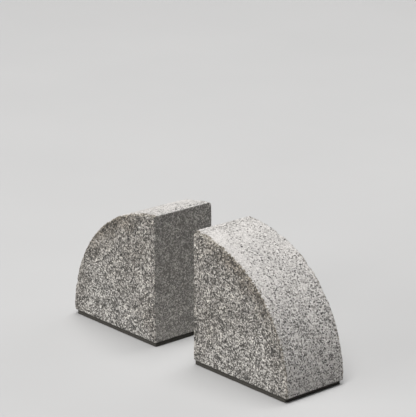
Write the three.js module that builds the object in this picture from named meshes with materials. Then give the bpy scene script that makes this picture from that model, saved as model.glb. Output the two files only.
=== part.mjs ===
// A pair of granite book ends: two quarter-round stone blocks that face each other across the
// row of books, each standing on a thin rubber pad that is stuck to its sawn base.
//
// Millimetres, +Z up. The origin is on the shelf, midway between the two book faces and midway
// across their width. +X runs from the books to the right book end's toe; +Y is the far side.

import * as THREE from "three";

// Driving dimensions.
const BLOCK_RADIUS = 115; // height of the book face and length of the base: a true quarter circle
const BLOCK_WIDTH = 64.5; // across the shelf, along Y
const BOOK_SPACE = 50; // between the two book faces at rest
const PAD_THICKNESS = 3.5;
const ADHESIVE_THICKNESS = 0.3;

// Edges and margins.
const CORNER_RADIUS = 2; // the quarter circle's three corners, eased by hand after sawing
const SIDE_ARRIS = 1; // the softened edges round both sawn sides
const PAD_MARGIN = 0.5; // from the block's book face and flanks to the pad
const PAD_TOE_MARGIN = 2.5; // from the block's toe to the pad
const PAD_CORNER_RADIUS = 2;
const ADHESIVE_INSET = 2; // from the pad's outline to the adhesive film's
const ADHESIVE_CORNER_RADIUS = 1;

// Steps along each kind of curve.
const FACE_STEPS = 64;
const CORNER_STEPS = 5;
const ARRIS_STEPS = 3;

const BLOCK_BASE = PAD_THICKNESS + ADHESIVE_THICKNESS; // height of the stone's base above the shelf
const QUARTER_TURN = Math.PI / 2;

const GRANITE = { color: 0x9a9993, roughness: 0.85, metalness: 0 };
const ADHESIVE = { color: 0xd9d4c0, roughness: 0.5, metalness: 0 };
const RUBBER = { color: 0x2b2a27, roughness: 0.9, metalness: 0 };

// Points along an arc, counter-clockwise from one angle to the other.
function arcPoints(centreX, centreY, radius, from, to, steps) {
  return new THREE.EllipseCurve(centreX, centreY, radius, radius, from, to).getPoints(steps);
}

// The block's outline seen from the near side: the book face is x = 0 and the base is y = 0.
function quarterRound() {
  // The centre of a corner's small arc that meets the big arc and one straight side smoothly.
  const reach = Math.sqrt((BLOCK_RADIUS - CORNER_RADIUS) ** 2 - CORNER_RADIUS ** 2);
  const ease = Math.atan2(CORNER_RADIUS, reach);
  const heel = arcPoints(
    CORNER_RADIUS, CORNER_RADIUS, CORNER_RADIUS, Math.PI, 3 * QUARTER_TURN, CORNER_STEPS,
  );
  const toe = arcPoints(reach, CORNER_RADIUS, CORNER_RADIUS, -QUARTER_TURN, ease, CORNER_STEPS);
  const face = arcPoints(0, 0, BLOCK_RADIUS, ease, QUARTER_TURN - ease, FACE_STEPS);
  const crown = arcPoints(
    CORNER_RADIUS, reach, CORNER_RADIUS, QUARTER_TURN - ease, Math.PI, CORNER_STEPS,
  );
  // The big arc shares its two ends with the toe and the crown.
  return new THREE.Shape([...heel, ...toe, ...face.slice(1, -1), ...crown]);
}

// A rectangle with rounded corners that lies a step inside the pad's sides.
function footprint(inset, cornerRadius) {
  const step = inset + cornerRadius;
  const heel = PAD_MARGIN + step;
  const toe = BLOCK_RADIUS - PAD_TOE_MARGIN - step;
  const side = BLOCK_WIDTH / 2 - PAD_MARGIN - step;
  const centres = [[heel, -side], [toe, -side], [toe, side], [heel, side]];
  const corners = centres.map(([x, y], corner) => {
    const from = Math.PI + corner * QUARTER_TURN;
    return arcPoints(x, y, cornerRadius, from, from + QUARTER_TURN, CORNER_STEPS);
  });
  return new THREE.Shape(corners.flat());
}

// A flat sheet of an outline, lying with its underside at a height.
function sheet(outline, underside, thickness) {
  const geometry = new THREE.ExtrudeGeometry(outline, { depth: thickness, bevelEnabled: false });
  return geometry.translate(0, 0, underside);
}

// The stone: the quarter-round outline carried across the width, with both side edges softened.
function blockGeometry() {
  const geometry = new THREE.ExtrudeGeometry(quarterRound(), {
    depth: BLOCK_WIDTH - 2 * SIDE_ARRIS,
    bevelThickness: SIDE_ARRIS,
    bevelSize: SIDE_ARRIS,
    bevelOffset: -SIDE_ARRIS,
    bevelSegments: ARRIS_STEPS,
  });
  geometry.translate(0, 0, SIDE_ARRIS - BLOCK_WIDTH / 2);
  geometry.rotateX(QUARTER_TURN);
  return geometry.translate(0, 0, BLOCK_BASE);
}

function padGeometry() {
  return sheet(footprint(0, PAD_CORNER_RADIUS), 0, PAD_THICKNESS);
}

function adhesiveGeometry() {
  const outline = footprint(ADHESIVE_INSET, ADHESIVE_CORNER_RADIUS);
  return sheet(outline, PAD_THICKNESS, ADHESIVE_THICKNESS);
}

function piece(name, geometry, finish) {
  const mesh = new THREE.Mesh(geometry, new THREE.MeshStandardMaterial(finish));
  mesh.name = name;
  return mesh;
}

// One book end, with its book face at x = 0 and its toe towards +X.
function bookEnd(side) {
  const group = new THREE.Group();
  group.add(piece(`${side}_granite_block`, blockGeometry(), GRANITE));
  group.add(piece(`${side}_pad_adhesive`, adhesiveGeometry(), ADHESIVE));
  group.add(piece(`${side}_base_pad`, padGeometry(), RUBBER));
  return group;
}

const bookEnds = new THREE.Group();

const right = bookEnd("right");
right.position.x = BOOK_SPACE / 2;
bookEnds.add(right);

// The left one is the same block turned round to face the right one.
const left = bookEnd("left");
left.position.x = -BOOK_SPACE / 2;
left.rotation.z = Math.PI;
bookEnds.add(left);

export default bookEnds;
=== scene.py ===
"""The pair of granite book ends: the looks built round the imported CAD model.

Every Blender object is in metres, in the CAD model's frame. Shapes are worked out in millimetres,
a block's in its own frame: x from the book face to the toe, y across, z up from the base.
"""

import itertools
import math

import bpy
import numpy as np
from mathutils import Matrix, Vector


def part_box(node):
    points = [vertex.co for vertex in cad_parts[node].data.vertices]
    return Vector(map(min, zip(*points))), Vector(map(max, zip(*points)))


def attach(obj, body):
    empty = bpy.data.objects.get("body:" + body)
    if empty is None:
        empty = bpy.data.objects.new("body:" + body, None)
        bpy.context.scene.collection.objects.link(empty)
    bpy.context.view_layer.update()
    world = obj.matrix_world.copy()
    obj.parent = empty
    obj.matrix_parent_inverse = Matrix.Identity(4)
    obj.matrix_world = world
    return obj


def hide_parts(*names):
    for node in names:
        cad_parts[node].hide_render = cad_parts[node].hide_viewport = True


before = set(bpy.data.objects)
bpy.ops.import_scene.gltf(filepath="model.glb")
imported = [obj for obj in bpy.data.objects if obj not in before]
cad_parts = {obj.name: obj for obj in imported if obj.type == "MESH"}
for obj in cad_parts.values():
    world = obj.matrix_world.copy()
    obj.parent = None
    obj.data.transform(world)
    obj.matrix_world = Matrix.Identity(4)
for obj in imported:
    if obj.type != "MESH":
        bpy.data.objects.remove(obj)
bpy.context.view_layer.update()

MM = 0.001

# Each book end's turn about Z and its seed. The left one is the right one turned half way round,
# with noise of its own.
SIDES = {"right": (1, 100), "left": (-1, 400)}

# The block's driving sizes, read from the CAD model, in millimetres.
BLOCK_LOW, BLOCK_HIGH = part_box("right_granite_block")
RADIUS = (BLOCK_HIGH.z - BLOCK_LOW.z) / MM
WIDTH = (BLOCK_HIGH.y - BLOCK_LOW.y) / MM
BOOK_FACE = BLOCK_LOW.x / MM
BASE = BLOCK_LOW.z / MM

# The order of a block's four faces in the arrays below.
BOOK, FOOT, CURVE, FLANK = range(4)

STONE_STEP = 0.7  # spacing of the stone mesh
PAD_STEP = 0.5  # spacing of the points round the pads
EDGE_RADIUS = 0.6  # rounding of every edge before it is worn
TINY = 1e-9  # keeps a division clear of zero


# ---------------------------------------------------------------- repeatable noise


def scramble(cells, seed):
    """A repeatable 32-bit number for each lattice cell, from its three whole coordinates.

    The factors are large odd numbers, which spread every bit.
    """
    x, y, z = (cells.astype(np.int64) & 0xFFFFFFFF).astype(np.uint32).T
    start = np.uint32(seed * 7919 + 17)  # far apart for seeds that are close together
    h = x * np.uint32(0x9E3779B1)
    h ^= y * np.uint32(0x85EBCA77) + start
    h ^= z * np.uint32(0xC2B2AE3D)
    for shift, factor in ((15, 0x2C1B3C6D), (12, 0x297A2D39)):
        h ^= h >> np.uint32(shift)
        h *= np.uint32(factor)
    return h ^ (h >> np.uint32(15))


def randoms(cells, seed):
    """Three repeatable numbers from 0 to 1 for each lattice cell."""
    return np.stack([scramble(cells, seed + i) / 2.0**32 for i in range(3)], axis=1)


def lumps(points, size, seed):
    """Smooth gradient noise, about -1 to 1, with lumps about one size apart."""
    gain = 1.6  # brings the sum to about -1 to 1
    scaled = points / size
    cells = np.floor(scaled)
    inside = scaled - cells
    ease = inside**3 * (inside * (inside * 6 - 15) + 10)
    total = np.zeros(len(points))
    for corner in itertools.product((0, 1), repeat=3):
        slopes = randoms(cells + corner, seed) * 2 - 1
        share = np.prod(np.where(corner, ease, 1 - ease), axis=1)
        total += share * np.sum(slopes * (inside - corner), axis=1)
    return total * gain


def crystals(points, size, seed):
    """The heights, about -1 to 1, of a surface broken through crystals about one size across.

    Each crystal has its own level and its own tilt.
    """
    spread = 1.3  # from the lowest crystal's level to the highest one's
    scaled = points / size
    cells = np.floor(scaled)
    nearest = np.full(len(points), np.inf)
    height = np.zeros(len(points))
    for step in itertools.product((-1, 0, 1), repeat=3):
        cell = cells + step
        away = scaled - (cell + randoms(cell, seed))
        distance = np.sum(away**2, axis=1)
        level, lean, twist = randoms(cell, seed + 50).T
        tilt = np.stack([lean - 0.5, twist - 0.5, level - lean], axis=1)
        here = (level - 0.5) * spread + np.sum(tilt * away, axis=1)
        closer = distance < nearest
        nearest = np.where(closer, distance, nearest)
        height = np.where(closer, here, height)
    return height


def smoothstep(low, high, value):
    """0 at low and 1 at high, with a smooth step between them; low may be the larger number."""
    t = np.clip((value - low) / (high - low), 0, 1)
    return t * t * (3 - 2 * t)


# ---------------------------------------------------------------- the stone's shape


def face_distances(points):
    """How far each point lies outside each of the four faces, and each face's outward normal."""
    x, y, z = points.T
    reach = np.maximum(np.hypot(x, z), TINY)
    zero = np.zeros(len(points))
    distances = np.stack([-x, -z, reach - RADIUS, np.abs(y) - WIDTH / 2], axis=1)
    normals = np.stack(
        [
            np.stack([zero - 1, zero, zero], axis=1),
            np.stack([zero, zero, zero - 1], axis=1),
            np.stack([x / reach, zero, z / reach], axis=1),
            np.stack([zero, np.sign(y), zero], axis=1),
        ],
        axis=1,
    )
    return distances, normals


def height_angle(points):
    """The angle up the quarter circle in degrees, from 0 at the toe to 90 at the crown."""
    return np.degrees(np.arctan2(points[:, 2], points[:, 0]))


def rounded_surface(points):
    """Distance outside the block with rounded edges, the normal, and each face's share in it."""
    distances, normals = face_distances(points)
    beyond = np.maximum(distances + EDGE_RADIUS, 0)
    outside = np.sqrt(np.sum(beyond**2, axis=1))
    deepest = np.max(distances + EDGE_RADIUS, axis=1)
    alone = np.eye(4)[np.argmax(distances, axis=1)]
    clear = outside[:, None] > TINY
    weights = np.where(clear, beyond / np.maximum(outside[:, None], TINY), alone)
    normal = np.sum(weights[:, :, None] * normals, axis=1)
    normal /= np.maximum(np.linalg.norm(normal, axis=1, keepdims=True), TINY)
    return outside + np.minimum(deepest, 0) - EDGE_RADIUS, normal, weights**2


# The layers of each worked surface: the noise, its height and size, and what it adds to the seed.
SPLIT_LAYERS = (
    (crystals, 0.20, 3.0, 0),
    (crystals, 0.13, 1.9, 5),
    (lumps, 0.16, 9.0, 10),
    (lumps, 0.18, 34.0, 15),
)
HAMMERED_LAYERS = (
    (crystals, 0.09, 1.8, 20),
    (lumps, 0.05, 3.2, 25),
    (lumps, 0.10, 16.0, 30),
)
SAWN_LAYERS = ((crystals, 0.03, 2.4, 35),)

# How far each surface's middle level lies under the block's faces, so that few peaks stand proud.
SPLIT_DEPTH = 0.2
HAMMERED_DEPTH = 0.1
SAWN_DEPTH = 0.05


def layered(points, layers, seed):
    """The sum of a surface's layers of noise."""
    return sum(height * noise(points, size, seed + more) for noise, height, size, more in layers)


def relief(points, share, seed):
    """Height of the worked surface above the block's faces."""
    split = layered(points, SPLIT_LAYERS, seed) - SPLIT_DEPTH
    hammered = layered(points, HAMMERED_LAYERS, seed) - HAMMERED_DEPTH
    sawn = layered(points, SAWN_LAYERS, seed) - SAWN_DEPTH
    sawn_share = share[:, BOOK] + share[:, FOOT]
    return share[:, FLANK] * split + share[:, CURVE] * hammered + sawn_share * sawn


# Wear of the edges between the flanks and the curved face, and what adds to it.
EDGE_WEAR = 0.9
WEAR_LAYERS = ((lumps, 0.35, 6.0, 40), (crystals, 0.5, 2.2, 45))
CHIP_WEAR = 1.6  # in the larger chips
HIGH_WEAR = 1.7  # towards the crown
CORNER_WEAR = 1.3  # at the crown's two corners
CORNER_REACH = 5  # how far that goes from a corner

# The part of the wear that the sawn faces' edges have.
BOOK_WEAR = 0.2
FOOT_WEAR = 0.15


def worn_edges(points, seed):
    """How each point is pushed in where the edges are worn and chipped, and how far."""
    distances, normals = face_distances(points)
    order = np.argsort(-distances, axis=1)
    rows = np.arange(len(points))
    first, second, third = order[:, :3].T
    depth = -distances[rows, first] - distances[rows, second]

    wear = EDGE_WEAR + layered(points, WEAR_LAYERS, seed)
    wear += CHIP_WEAR * smoothstep(0.3, 0.7, lumps(points, 11.0, seed + 48))
    wear += HIGH_WEAR * smoothstep(50, 85, height_angle(points))
    edge_faces = order[:, :2]
    wear *= np.where((edge_faces == BOOK).any(axis=1), BOOK_WEAR, 1)
    wear *= np.where((edge_faces == FOOT).any(axis=1), FOOT_WEAR, 1)
    crown = ~(order[:, :3] == FOOT).any(axis=1)
    corner = smoothstep(CORNER_REACH, 0, -distances[rows, third])
    wear += np.where(crown, CORNER_WEAR * corner, 0)

    push = np.maximum(wear - depth, 0) / math.sqrt(2)
    towards = -(normals[rows, first] + normals[rows, second])
    towards /= np.linalg.norm(towards, axis=1, keepdims=True)
    return push[:, None] * towards, push


def stain_and_painted_shade(points, seed):
    """Iron staining on the flanks, with painted shade, from 0 to 1.

    It is a brown staining band inside the curved edge, and a faint painted shade that darkens the upper
    half.
    """
    angle = height_angle(points)
    inside = RADIUS - np.hypot(points[:, 0], points[:, 2])
    band = smoothstep(28, 3, inside + 7 * lumps(points, 14.0, seed + 60))
    strongest, reach = 58, 26  # degrees up, and degrees to either side
    along = 0.3 + 0.7 * np.exp(-(((angle - strongest) / reach) ** 2))
    # Painted shade: the upper half is darkened because less light comes up to it from the floor.
    painted_shade = smoothstep(15, 65, angle) * (0.35 + 0.2 * lumps(points, 30.0, seed + 65))
    return np.maximum(band * along, painted_shade)


def border(points):
    """Millimetres from the curved edge: above 0 on the curved face and below 0 on the flanks.

    Near the crown the broken stone of the flanks reaches a little way over the edge.
    """
    distances, _ = face_distances(points)
    reach_over = 2.5 * smoothstep(72, 88, height_angle(points))
    furthest = 20  # past this, the distance no longer matters
    return np.clip(distances[:, CURVE] - distances[:, FLANK] - reach_over, -furthest, furthest)


def crushed_and_painted_light(points, seed):
    """Where the curved face is whitest, from 0 to 1: whitened by the hammer, and painted lighter where
    it faces the lamp overhead.

    That is high up, though not at the crown, and most along one edge.
    """
    angle = height_angle(points)
    # Painted light: whiter as the curve turns up towards the lamp overhead, less so at the crown.
    high = smoothstep(20, 75, angle) * (1 - 0.6 * smoothstep(78, 90, angle))
    rim = smoothstep(26, 6, points[:, 1] + WIDTH / 2)
    return np.clip(high * (0.6 + 0.4 * rim) + 0.25 * lumps(points, 14.0, seed + 70), 0, 1)


def stone_mesh(side):
    """A dense mesh of one block, with its broken, hammered and sawn faces and its worn edges."""
    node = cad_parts[f"{side}_granite_block"]
    rough = bpy.data.objects.new("rough", node.data.copy())
    bpy.context.scene.collection.objects.link(rough)
    remesh = rough.modifiers.new("even", "REMESH")
    remesh.mode = "VOXEL"
    remesh.voxel_size = STONE_STEP * MM
    mesh = bpy.data.meshes.new_from_object(rough.evaluated_get(bpy.context.evaluated_depsgraph_get()))
    bpy.data.objects.remove(rough)

    turn, seed = SIDES[side]
    facing = (turn, turn, 1)
    heel = (BOOK_FACE, 0, BASE)
    places = np.empty(len(mesh.vertices) * 3)
    mesh.vertices.foreach_get("co", places)
    points = places.reshape(-1, 3) / MM * facing - heel

    # Three steps bring every point onto the block with rounded edges.
    for _ in range(3):
        distance, normal, share = rounded_surface(points)
        points -= distance[:, None] * normal

    height = relief(points, share, seed)
    chip, push = worn_edges(points, seed)
    masks = {
        "border": border(points),
        "sawn": share[:, BOOK] + share[:, FOOT],
        "chipped": smoothstep(0, 0.8, push),
        "stain_and_painted_shade": stain_and_painted_shade(points, seed),
        "crushed_and_painted_light": crushed_and_painted_light(points, seed),
    }
    points = points + height[:, None] * normal + chip

    places = (points + heel) * facing * MM
    mesh.vertices.foreach_set("co", places.ravel())
    for name, values in masks.items():
        attribute = mesh.attributes.new(name, "FLOAT", "POINT")
        attribute.data.foreach_set("value", values.astype(np.float32))
    mesh.polygons.foreach_set("use_smooth", [True] * len(mesh.polygons))
    mesh.update()
    return mesh


# ---------------------------------------------------------------- the shape of the pads and glue


def outline(length, width, radius, step):
    """Points round a rectangle with rounded corners, centred on the origin, and the way out at each."""
    places = []
    ways = []
    corners = [(1, 1), (-1, 1), (-1, -1), (1, -1)]
    corner_points = max(3, round(radius * math.pi / 2 / step))
    for number, (right, back) in enumerate(corners):
        centre = np.array([right * (length / 2 - radius), back * (width / 2 - radius)])
        turns = np.radians(90 * number + np.linspace(0, 90, corner_points))
        for turn in turns:
            way = np.array([math.cos(turn), math.sin(turn)])
            places.append(centre + radius * way)
            ways.append(way)
        following = corners[(number + 1) % 4]
        start = places[-1]
        end = np.array([following[0] * (length / 2 - radius), following[1] * (width / 2 - radius)])
        end = end + radius * ways[-1]
        count = max(1, round(np.linalg.norm(end - start) / step))
        for part in range(1, count):
            places.append(start + (end - start) * part / count)
            ways.append(ways[-1])
    return np.array(places), np.array(ways)


# How far inside a cut sheet's outline the rings of points on its flat faces lie. The innermost one
# lies deeper than the corners are round, so the flat faces fold over themselves at the corners,
# where the stone and the shelf hide them.
FLAT_RING = 6.0
RIM_RING = 1.5  # where the wavering of the sides begins
WAVER = 0.25  # how far the hand strays from a straight cut, either way


def cut_sheet_mesh(node, corner, rounding, roughness, seed):
    """A sheet cut by hand to the box of a CAD node: rounded rims and slightly wavering, rough sides."""
    low, high = (np.array(end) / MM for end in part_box(node))
    length, width, thickness = high - low
    middle = (low + high) / 2
    plan, ways = outline(length, width, corner, PAD_STEP)

    # The section from the underside up to the top: how far inside the outline, and how high.
    bend = np.radians(np.linspace(0, 90, 4))
    rim = [(-FLAT_RING, 0.0), (-RIM_RING, 0.0)]
    rim += [(-rounding * (1 - math.sin(t)), rounding * (1 - math.cos(t))) for t in bend]
    rows = max(1, round((thickness - 2 * rounding) / PAD_STEP))
    wall = [(0.0, rise) for rise in np.linspace(rounding, thickness - rounding, rows + 1)[1:-1]]
    profile = rim + wall + [(inset, thickness - rise) for inset, rise in reversed(rim)]

    rings = []
    for inset, rise in profile:
        ring = plan + ways * inset
        rings.append(np.column_stack([ring, np.full(len(ring), rise - thickness / 2)]))
    points = np.concatenate(rings) + middle
    side = np.tile(np.column_stack([ways, np.zeros(len(ways))]), (len(profile), 1))
    insets = np.repeat([inset for inset, _ in profile], len(plan))
    waver = WAVER * lumps(points * (1, 1, 0), 23.0, seed) + roughness * lumps(points, 1.1, seed + 5)
    points += side * ((waver - WAVER - roughness) * smoothstep(-RIM_RING, 0, insets))[:, None]

    around = len(plan)
    faces = []
    for ring in range(len(profile) - 1):
        for here in range(around):
            there = (here + 1) % around
            low_ring, high_ring = ring * around, (ring + 1) * around
            faces.append((low_ring + here, low_ring + there, high_ring + there, high_ring + here))
    faces.append(tuple(range(around))[::-1])
    faces.append(tuple(range((len(profile) - 1) * around, len(profile) * around)))
    mesh = bpy.data.meshes.new(node)
    mesh.from_pydata((points * MM).tolist(), [], faces)
    mesh.polygons.foreach_set("use_smooth", [True] * len(mesh.polygons))
    return mesh


# ---------------------------------------------------------------- materials


# Blender's Mix node names its colour sockets as it names its other sockets, so they go by number.
MIX_A, MIX_B, MIX_RESULT = 6, 7, 2


class Recipe:
    """A material's node tree, with short calls for the nodes that the recipes use."""

    def __init__(self, name, **fixed):
        self.material = bpy.data.materials.new(name)
        self.material.use_nodes = True
        self.tree = self.material.node_tree
        self.shader = self.tree.nodes["Principled BSDF"]
        for socket, value in fixed.items():
            self.shader.inputs[socket.replace("_", " ")].default_value = value

    def put(self, socket, value):
        """Links a node's output to a socket, or sets the socket to a value."""
        if isinstance(value, bpy.types.NodeSocket):
            self.tree.links.new(value, socket)
        else:
            socket.default_value = value

    def node(self, kind, inputs=(), **settings):
        """A new node, with inputs that are links or values, and with settings of its own."""
        made = self.tree.nodes.new(kind)
        for name, value in settings.items():
            setattr(made, name, value)
        for name, value in dict(inputs).items():
            self.put(made.inputs[name], value)
        return made

    def math(self, operation, a, b):
        return self.node("ShaderNodeMath", {0: a, 1: b}, operation=operation).outputs[0]

    def map(self, value, low, high, to_low=0.0, to_high=1.0):
        """value from low to high becomes to_low to to_high, smoothly and clamped."""
        inputs = {
            "Value": value,
            "From Min": low,
            "From Max": high,
            "To Min": to_low,
            "To Max": to_high,
        }
        made = self.node("ShaderNodeMapRange", inputs, interpolation_type="SMOOTHSTEP")
        return made.outputs["Result"]

    def mix(self, factor, a, b, blend="MIX"):
        made = self.node("ShaderNodeMix", data_type="RGBA", blend_type=blend)
        self.put(made.inputs["Factor"], factor)
        self.put(made.inputs[MIX_A], a)
        self.put(made.inputs[MIX_B], b)
        return made.outputs[MIX_RESULT]

    def mask(self, name):
        """One of the numbers kept at every point of the mesh."""
        return self.node("ShaderNodeAttribute", attribute_name=name).outputs["Fac"]

    def place(self):
        """The point's place in the CAD frame, in millimetres."""
        coordinates = self.node("ShaderNodeTexCoord").outputs["Object"]
        made = self.node("ShaderNodeVectorMath", {"Vector": coordinates}, operation="SCALE")
        made.inputs["Scale"].default_value = 1 / MM
        return made.outputs["Vector"]

    def noise(self, place, size, detail=1.0, output="Fac"):
        """Smooth noise from 0 to 1 with features about one size across."""
        inputs = {"Vector": place, "Scale": 1 / size, "Detail": detail}
        return self.node("ShaderNodeTexNoise", inputs).outputs[output]

    def shifted(self, place, size, amount):
        """The place pushed about by up to an amount, so that what is drawn there has ragged edges."""
        push = self.noise(place, size, 2.0, "Color")
        centred = self.node("ShaderNodeVectorMath", {0: push, 1: (0.5, 0.5, 0.5)}, operation="SUBTRACT")
        scaled = self.node("ShaderNodeVectorMath", {0: centred.outputs[0]}, operation="SCALE")
        scaled.inputs["Scale"].default_value = amount * 2
        added = self.node("ShaderNodeVectorMath", {0: place, 1: scaled.outputs[0]}, operation="ADD")
        return added.outputs[0]

    def grains(self, place, size):
        """Crystals about one size across: a random number for each, and the distance from its middle."""
        cells = self.node("ShaderNodeTexVoronoi", {"Vector": place, "Scale": 1 / size})
        number = self.node("ShaderNodeSeparateColor", {"Color": cells.outputs["Color"]})
        return number.outputs["Red"], cells.outputs["Distance"]

    def ramp(self, value, stops):
        """The colour at a value, between stops that each hold a position and a colour."""
        made = self.node("ShaderNodeValToRGB", {"Fac": value})
        elements = made.color_ramp.elements
        while len(elements) < len(stops):
            elements.new(0.5)
        for element, (position, colour) in zip(elements, stops):
            element.position = position
            element.color = (*colour, 1)
        return made.outputs["Color"]

    def bump(self, height, distance):
        inputs = {"Height": height, "Distance": distance}
        return self.node("ShaderNodeBump", inputs).outputs["Normal"]


# The granite's single colours.
# This tint also paints the shade over the flanks' upper half.
RUST_AND_SHADE_TINT = (0.56, 0.52, 0.468, 1)
WEATHERED_MICA = (0.085, 0.070, 0.050, 1)
BLACK_INCLUSION = (0.03, 0.028, 0.026, 1)
# Hammer-whitened crystals, also used as painted light high on the curved face.
HAMMER_WHITE_AND_PAINTED_LIGHT = (0.56, 0.541, 0.528, 1)
SPARED_MICA = (0.052, 0.049, 0.045, 1)
SOILED_RIM = (0.20, 0.165, 0.11, 1)
CHIPPED_EDGE = (0.42, 0.40, 0.35, 1)
SAW_DUST = (0.37, 0.36, 0.34, 1)


def fresh_granite(r, place, finer):
    """Crystals with their own colours, as broken stone shows them, and where the black mica is."""
    grain, _ = r.grains(r.shifted(place, size=1.0, amount=0.5), size=1.1)
    crowd = r.math("MULTIPLY", r.math("SUBTRACT", r.noise(place, size=7.0, detail=2.0), 0.5), 0.5)
    grain = r.math("SUBTRACT", grain, crowd)
    grain_stops = [
        (0.0, (0.009, 0.0078, 0.0062)),  # black mica
        (0.26, (0.016, 0.0140, 0.0112)),
        (0.34, (0.107, 0.099, 0.087)),  # grey quartz
        (0.62, (0.305, 0.293, 0.273)),
        (0.86, (0.565, 0.547, 0.521)),  # pale feldspar
        (1.0, (0.83, 0.80, 0.74)),
    ]
    small, _ = r.grains(finer, size=0.75)
    small_stops = [
        (0.0, (0.02, 0.018, 0.015)),
        (0.4, (0.125, 0.119, 0.11)),
        (1.0, (0.55, 0.532, 0.504)),
    ]
    colour = r.mix(0.2, r.ramp(grain, grain_stops), r.ramp(small, small_stops))
    mica = r.map(grain, 0.29, 0.22)
    return colour, mica


def broken_granite(r, place, fresh, edge):
    """The flanks: fresh crystals with iron stains and painted shade, dark blotches along the curved edge
    and inclusions.
    """
    # This mask holds iron staining and the painted shade of the upper half, and the tint darkens both.
    rust_and_shade = r.math("MULTIPLY", r.mask("stain_and_painted_shade"), r.map(r.noise(place, size=3.0, detail=3.0), 0.2, 0.5))
    colour = r.mix(rust_and_shade, fresh, r.mix(1.0, fresh, RUST_AND_SHADE_TINT, "MULTIPLY"))

    blotch = r.map(r.noise(place, size=2.0, detail=2.0), 0.54, 0.62)
    blotch = r.math("MULTIPLY", blotch, r.map(edge, -3.5, 0.0, 0.0, 0.7))
    colour = r.mix(blotch, colour, WEATHERED_MICA)

    lump, reach = r.grains(r.shifted(place, size=5.0, amount=2.5), size=15.0)
    inclusion = r.math("MULTIPLY", r.map(lump, 0.74, 0.76), r.map(reach, 0.17, 0.11))
    return r.mix(r.math("MULTIPLY", inclusion, 0.6), colour, BLACK_INCLUSION)


def bruised_granite(r, place, finer):
    """The curved face: crystals whitened by the hammer and painted lighter high up, with what mica is
    left.
    """
    white = r.mask("crushed_and_painted_light")
    frost, _ = r.grains(finer, size=1.15)
    frost_stops = [
        (0.0, (0.12, 0.115, 0.107)),
        (0.3, (0.39, 0.377, 0.36)),
        (1.0, (0.68, 0.657, 0.636)),
    ]
    colour = r.ramp(frost, frost_stops)
    # Whiter where the hammer bruised the stone, and where light is painted on high up.
    colour = r.mix(r.math("MULTIPLY", white, 0.65), colour, HAMMER_WHITE_AND_PAINTED_LIGHT)

    specks, reach = r.grains(r.shifted(place, size=0.7, amount=0.35), size=1.2)
    spared = r.math("SUBTRACT", specks, r.math("MULTIPLY", white, 0.26))
    speck = r.math("MULTIPLY", r.map(spared, 0.73, 0.78), r.map(reach, 0.75, 0.5))
    colour = r.mix(r.math("MULTIPLY", speck, 0.9), colour, SPARED_MICA)

    spots, reach = r.grains(r.shifted(place, size=1.5, amount=0.8), size=6.0)
    spot = r.math("MULTIPLY", r.map(spots, 0.8, 0.82), r.map(reach, 0.2, 0.14))
    return r.mix(spot, colour, BLACK_INCLUSION)


def granite():
    """Salt-and-pepper granite: broken on the flanks, hammered on the curved face, sawn on the rest."""
    r = Recipe("granite", Specular_IOR_Level=0.35)
    place = r.place()
    finer = r.shifted(place, size=0.7, amount=0.3)
    edge = r.mask("border")
    sawn = r.mask("sawn")
    fresh, mica = fresh_granite(r, place, finer)
    broken = broken_granite(r, place, fresh, edge)
    bruised = bruised_granite(r, place, finer)

    # The two meet in a frayed line along the curved edge, which is soiled.
    frayed = r.math("SUBTRACT", r.noise(place, size=1.5, detail=3.0), 0.5)
    frayed = r.math("ADD", edge, r.math("MULTIPLY", frayed, 12.0))
    colour = r.mix(r.map(frayed, 0.4, 1.2), broken, bruised)
    rim = r.math("MULTIPLY", r.map(frayed, -1.5, -0.2), r.map(frayed, 1.9, 0.6))
    colour = r.mix(r.math("MULTIPLY", rim, 0.3), colour, SOILED_RIM)

    patches = r.map(r.noise(place, size=1.4, detail=2.0), 0.45, 0.6, 0.0, 0.4)
    colour = r.mix(r.math("MULTIPLY", r.mask("chipped"), patches), colour, CHIPPED_EDGE)
    colour = r.mix(sawn, colour, r.mix(0.35, fresh, SAW_DUST))

    # The stone is warmer and lighter in some places than in others.
    tint_stops = [(0.3, (0.455, 0.453, 0.45)), (0.7, (0.545, 0.537, 0.528))]
    tint = r.ramp(r.noise(place, size=24.0, detail=2.0), tint_stops)
    r.put(r.shader.inputs["Base Color"], r.mix(0.8, colour, tint, "OVERLAY"))
    r.put(r.shader.inputs["Roughness"], r.map(mica, 0.0, 1.0, 0.82, 0.5))

    # Pits too small for the mesh, which are shallow on the sawn faces, and the marks of the saw.
    fine_pits = r.math("MULTIPLY", r.noise(place, size=0.7, detail=2.0), 0.6)
    pits = r.math("ADD", r.noise(place, size=1.3, detail=1.0), fine_pits)
    pits = r.math("MULTIPLY", pits, r.map(sawn, 0.0, 1.0, 1.0, 0.2))
    wave = {"Vector": place, "Scale": 0.2, "Distortion": 1.5}
    lines = r.node("ShaderNodeTexWave", wave, bands_direction="Z")
    marks = r.math("MULTIPLY", lines.outputs["Fac"], r.math("MULTIPLY", sawn, 0.05))
    r.put(r.shader.inputs["Normal"], r.bump(r.math("ADD", pits, marks), distance=1.35 * MM))
    return r.material


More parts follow.
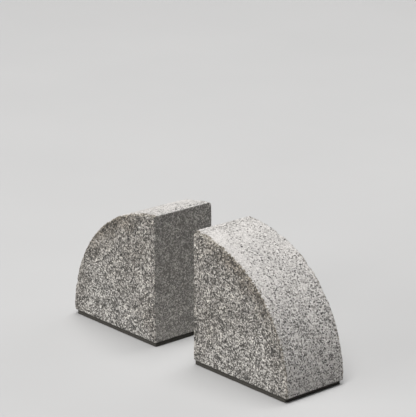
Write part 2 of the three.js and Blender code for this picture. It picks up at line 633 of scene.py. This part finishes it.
def rubber():
    """Dark cellular rubber with open pores in its cut sides, their hollows in painted shade."""
    r = Recipe("pad_rubber", Specular_IOR_Level=0.3)
    place = r.place()
    fleck = r.noise(place, size=0.5, detail=3.0)
    fleck_stops = [(0.3, (0.036, 0.033, 0.028)), (0.7, (0.070, 0.065, 0.056))]
    _, pore = r.grains(r.shifted(place, size=0.5, amount=0.2), size=0.55)
    # Painted shade: the pores' hollows are drawn near black.
    painted_pore_shade = (0.012, 0.011, 0.010, 1)
    colour = r.mix(r.map(pore, 0.3, 0.15, 0.0, 0.7), r.ramp(fleck, fleck_stops), painted_pore_shade)
    r.put(r.shader.inputs["Base Color"], colour)
    r.put(r.shader.inputs["Roughness"], r.map(fleck, 0.3, 0.7, 0.95, 0.75))
    r.put(r.shader.inputs["Normal"], r.bump(pore, distance=0.3 * MM))
    return r.material


def adhesive():
    """A yellowed film of glue, wiped unevenly."""
    r = Recipe("pad_adhesive_film")
    place = r.place()
    streak = r.noise(place, size=3.0, detail=3.0)
    streak_stops = [(0.3, (0.42, 0.37, 0.26)), (0.7, (0.52, 0.48, 0.37))]
    r.put(r.shader.inputs["Base Color"], r.ramp(streak, streak_stops))
    r.put(r.shader.inputs["Roughness"], r.map(r.noise(place, size=6.0), 0.3, 0.7, 0.35, 0.55))
    return r.material


# ---------------------------------------------------------------- pieces


def add(side, name, mesh, material, node):
    """Adds a piece that rides on its book end in the place of one CAD node."""
    piece = bpy.data.objects.new(f"{side}_{name}", mesh)
    bpy.context.scene.collection.objects.link(piece)
    piece.data.materials.clear()
    piece.data.materials.append(material)
    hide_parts(f"{side}_{node}")
    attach(piece, f"{side}_bookend")
    return piece


stone = granite()
pad_rubber = rubber()
film = adhesive()
for side in SIDES:
    add(side, "granite_stone", stone_mesh(side), stone, "granite_block")

    foot = cut_sheet_mesh(f"{side}_base_pad", corner=2.0, rounding=0.4, roughness=0.1, seed=700)
    pad = add(side, "rubber_foot", foot, pad_rubber, "base_pad")

    glue = cut_sheet_mesh(f"{side}_pad_adhesive", corner=1.0, rounding=0.05, roughness=0.02, seed=800)
    add(side, "glue_film", glue, film, "pad_adhesive")


# ---------------------------------------------------------------- floor, light and camera


def aim(thing, towards):
    """Turns a lamp or camera to look at a point."""
    thing.rotation_euler = (Vector(towards) - thing.location).to_track_quat("-Z", "Y").to_euler()


def floor():
    """A plain pale paper floor with faint clouds in its shade."""
    r = Recipe("floor_paper", Roughness=0.9, Specular_IOR_Level=0.1)
    clouds = r.noise(r.place(), size=220.0, detail=2.0)
    cloud_stops = [(0.2, (0.405, 0.402, 0.400)), (0.8, (0.420, 0.417, 0.414))]
    r.put(r.shader.inputs["Base Color"], r.ramp(clouds, cloud_stops))
    bpy.ops.mesh.primitive_plane_add(size=14)
    plane = bpy.context.object
    plane.name = "floor"
    plane.data.materials.append(r.material)


def softbox(name, place, towards, size, power):
    """A large rectangular lamp, which the camera doesn't see."""
    lamp = bpy.data.lights.new(name, "AREA")
    lamp.shape = "RECTANGLE"
    lamp.size, lamp.size_y = size
    lamp.energy = power
    lamp_object = bpy.data.objects.new(name, lamp)
    bpy.context.scene.collection.objects.link(lamp_object)
    lamp_object.location = place
    lamp_object.visible_camera = False
    aim(lamp_object, towards)


def surroundings(strength):
    """Even white light from all round."""
    world = bpy.data.worlds.new("studio")
    world.use_nodes = True
    background = world.node_tree.nodes["Background"]
    background.inputs["Color"].default_value = (1, 1, 1, 1)
    background.inputs["Strength"].default_value = strength
    bpy.context.scene.world = world


def camera():
    """A long lens that looks at the pair from the front right, a little from above."""
    azimuth = math.radians(48.84)
    elevation = math.radians(17.40)
    distance = 1.67
    target = Vector((-0.0213, 0.0246, 0.1154))
    level = math.cos(elevation)
    back = Vector((math.sin(azimuth) * level, -math.cos(azimuth) * level, math.sin(elevation)))
    lens = bpy.data.cameras.new("camera")
    lens.sensor_width = 36
    lens.lens = 166.8
    lens.clip_end = 30
    view = bpy.data.objects.new("camera", lens)
    bpy.context.scene.collection.objects.link(view)
    view.location = target + back * distance
    aim(view, target)
    bpy.context.scene.camera = view


MIDDLE = (0, 0, 0.05)
BEHIND = (0, 0.5, 0.05)

floor()
softbox("key", place=(0.3, -0.7, 6.8), towards=MIDDLE, size=(3.0, 8.0), power=770)
softbox("fill", place=(-1.8, -6.0, 1.6), towards=MIDDLE, size=(6.0, 2.5), power=325)
softbox("rim", place=(0.0, 6.0, 3.0), towards=BEHIND, size=(6.0, 3.0), power=120)
surroundings(strength=0.065)
camera()
bpy.context.scene.view_settings.view_transform = "Standard"
